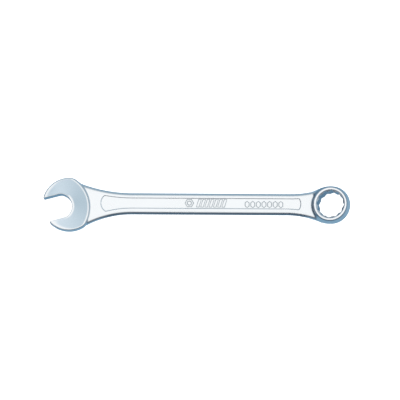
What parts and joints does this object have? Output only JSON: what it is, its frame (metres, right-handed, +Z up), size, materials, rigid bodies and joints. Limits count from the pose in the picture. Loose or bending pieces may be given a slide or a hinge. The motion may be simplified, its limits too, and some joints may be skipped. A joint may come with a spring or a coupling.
{
  "type": "combination wrench",
  "caption": "Flat forged wrench with an open jaw set at an angle at one end and a tilted twelve-point ring at the other, joined by a slim handle with a sunk panel on each face.",
  "frame": {"origin": "centre of the bounding box's base, on the surface that the wrench lies on", "axes": "+X along the handle from the open jaw to the ring, +Z up from the lying face, +Y across the handle"},
  "size_m": [0.18, 0.0316, 0.0141],
  "materials": {
    "chrome_plate": "satin chrome plate, ground bright on the flats of both ends"
  },
  "bodies": {
    "root": {"forged_body": "chrome_plate"}
  },
  "joints": []
}
